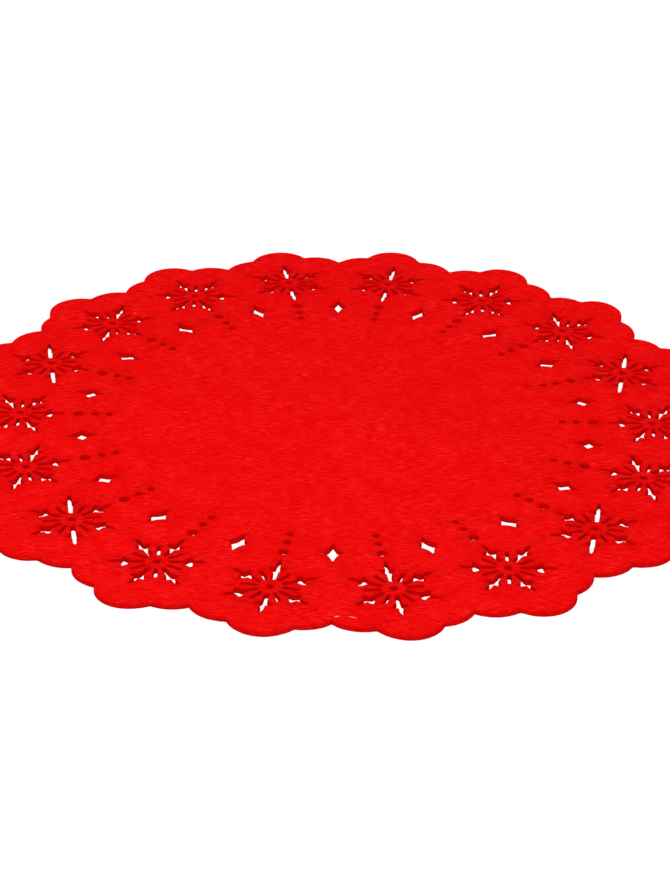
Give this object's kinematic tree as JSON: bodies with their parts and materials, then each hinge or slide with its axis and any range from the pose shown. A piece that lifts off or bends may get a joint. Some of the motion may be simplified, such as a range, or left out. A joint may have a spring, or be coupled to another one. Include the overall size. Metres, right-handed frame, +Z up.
{
  "type": "felt placemat",
  "caption": "Round flat felt placemat with a scalloped rim and a cut-out border of snowflakes, diamonds and rows of round holes.",
  "frame": {"origin": "middle of the mat's underside, on the table", "axes": "+Z up out of the top face; +X runs through the middle of one snowflake, and -Y faces the viewer, midway between two snowflakes"},
  "size_m": [0.3808, 0.3756, 0.003],
  "materials": {
    "felt": "matte needle-punched felt, bright red"
  },
  "bodies": {
    "root": {"mat": "felt"}
  },
  "joints": []
}
